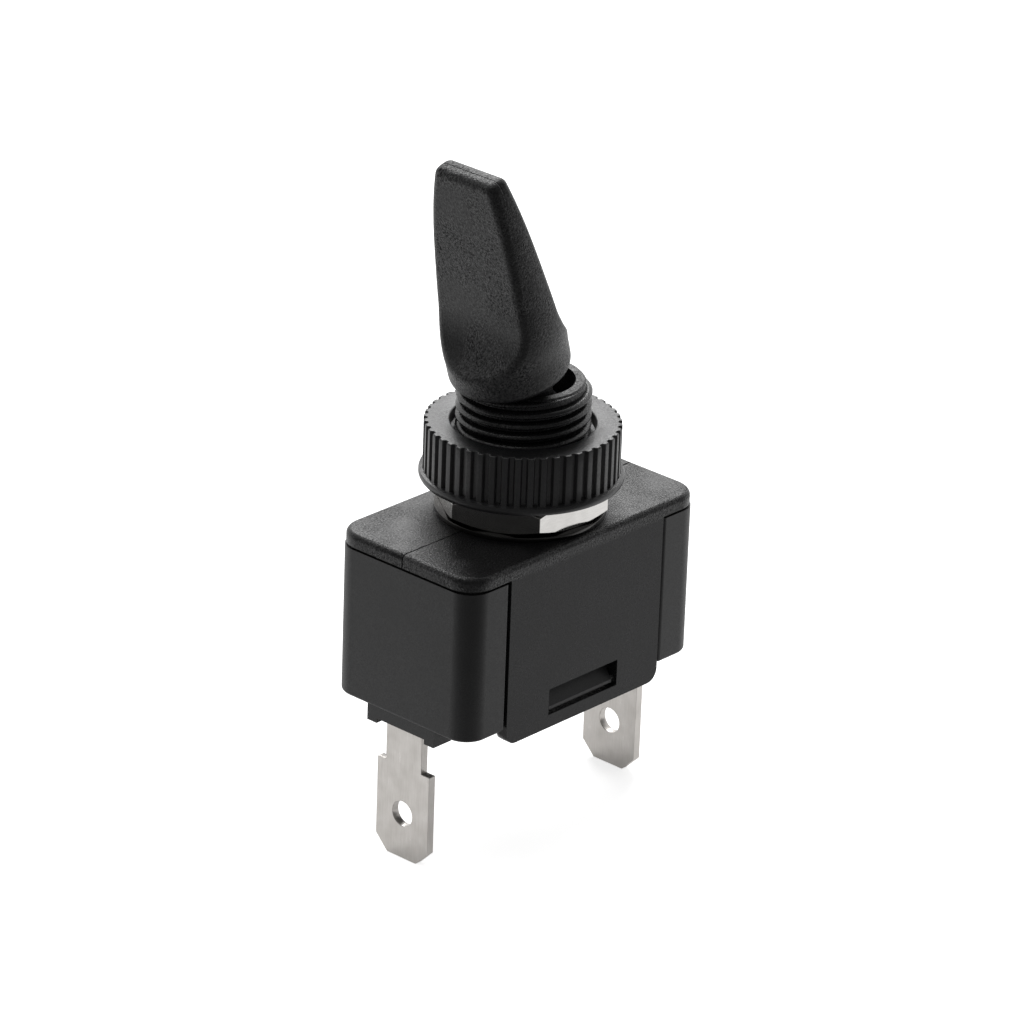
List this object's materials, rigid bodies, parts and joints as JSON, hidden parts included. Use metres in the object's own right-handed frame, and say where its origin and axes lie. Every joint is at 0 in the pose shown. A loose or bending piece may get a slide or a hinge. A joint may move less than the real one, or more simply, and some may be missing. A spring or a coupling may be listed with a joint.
{
  "type": "panel toggle switch",
  "caption": "Panel toggle switch with a leaning paddle lever, threaded bushing with ring nut and hexagon nut, moulded body and blade terminals.",
  "frame": {"origin": "on the bushing's axis at the cap's top face, where the washer and the panel seat", "axes": "+Z along the bushing towards the lever, X along the body's long side with the lever leaning to -X, Y across the body"},
  "size_m": [0.03, 0.0182, 0.0636],
  "materials": {
    "frame_plastic": "black moulded nylon, fine grain, satin",
    "base_plastic": "black moulded nylon, smooth satin",
    "lever_plastic": "black moulded nylon, fine grain with a soft sheen",
    "nut_plastic": "black moulded nylon, satin",
    "steel": "drawn steel",
    "bare_brass": "stamped brass",
    "contact_silver": "silver alloy contact, domed",
    "plated_brass": "tin-plated brass strip, lightly brushed",
    "plated_steel": "plated spring steel",
    "bright_nickel": "bright nickel plating"
  },
  "bodies": {
    "body": {"switch_frame": "frame_plastic", "base_housing": "base_plastic", "lever_pivot_pin": "steel", "common_terminal": "plated_brass", "load_terminal": "plated_brass", "fulcrum_bracket": "bare_brass", "fulcrum_rivet": "bare_brass", "fixed_contact_button": "contact_silver", "lock_washer": "plated_steel"},
    "lever": {"lever": "lever_plastic", "plunger_spring": "steel"},
    "plunger": {"plunger": "bare_brass"},
    "rocker": {"rocker_contact": "bare_brass", "moving_contact_button": "contact_silver"},
    "hex_nut": {"hex_nut": "bright_nickel"},
    "knurled_nut": {"knurled_nut": "nut_plastic"}
  },
  "joints": [
    {"name": "lever_tilt", "type": "hinge", "parent": "body", "child": "lever", "pos_m": [0, 0, 0.0076], "axis": [0, 1, 0], "range_deg": [0, 34]},
    {"name": "rocker_tilt", "type": "hinge", "parent": "body", "child": "rocker", "pos_m": [0, 0, -0.0082], "axis": [0, 1, 0], "range_deg": [-14, 0]},
    {"name": "plunger_slide", "type": "slide", "parent": "lever", "child": "plunger", "axis": [-0.2924, 0, 0.9563], "range_m": [0, 0.0015], "stiffness_N_per_m": 800, "springref_m": -0.002, "deforming": ["plunger_spring"]},
    {"name": "hex_nut_turn", "type": "hinge", "parent": "body", "child": "hex_nut", "pos_m": [0, 0, 0.0018], "axis": [0, 0, 1], "continuous": true},
    {"name": "knurled_nut_turn", "type": "hinge", "parent": "body", "child": "knurled_nut", "pos_m": [0, 0, 0.0058], "axis": [0, 0, 1], "continuous": true}
  ],
  "couplings": [
    {"joint": "rocker_tilt", "follows": "lever_tilt", "ratio": -0.4117}
  ]
}
